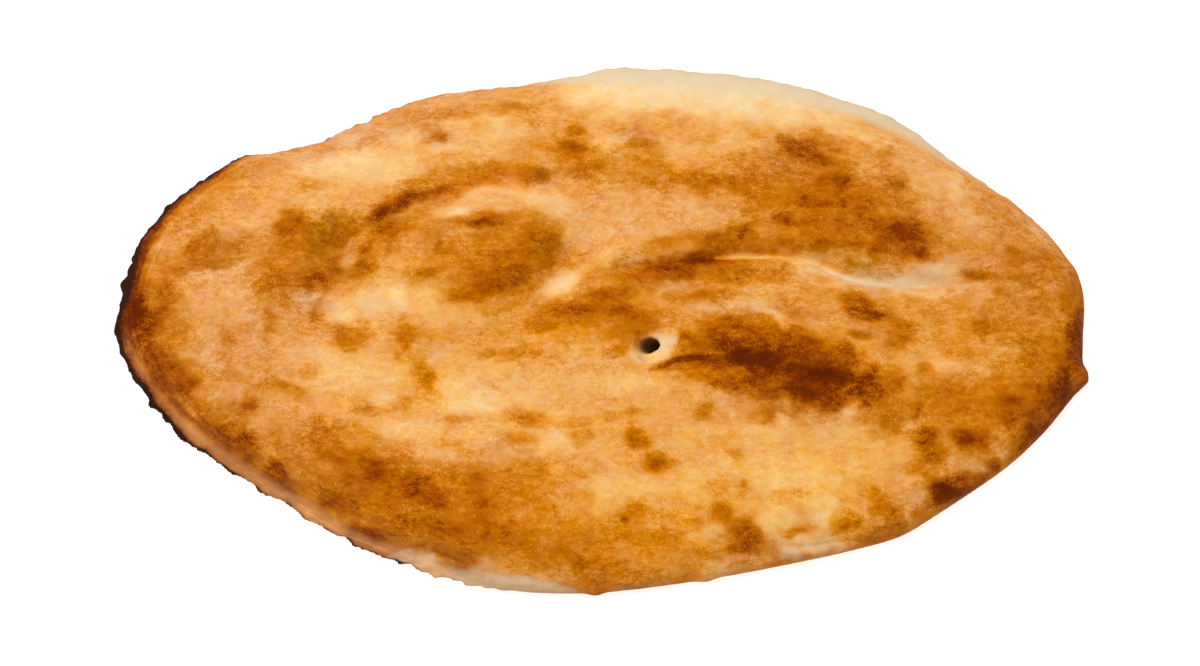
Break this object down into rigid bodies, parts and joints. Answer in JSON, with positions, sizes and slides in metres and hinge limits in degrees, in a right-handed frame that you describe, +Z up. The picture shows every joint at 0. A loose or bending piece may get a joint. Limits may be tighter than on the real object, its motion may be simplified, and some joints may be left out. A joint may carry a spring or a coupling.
{
  "type": "tandoor bread",
  "caption": "Whole oval tandoor flatbread with a low dome, rolled edge, torn lip, pressed hollows, a fold, blisters and a steam vent, resting on its flat base.",
  "frame": {"origin": "centre of the loaf's box on its flat base", "axes": "+X along the loaf to its right end, where the small beak is; +Y across it to the back edge; +Z up through the crust"},
  "size_m": [0.4, 0.234, 0.0308],
  "materials": {
    "crust": "baked crust, matt to faintly glossy, pale cream to golden and dark brown, charred at the torn lip, with specks of flour"
  },
  "bodies": {
    "root": {"bread": "crust"}
  },
  "joints": []
}
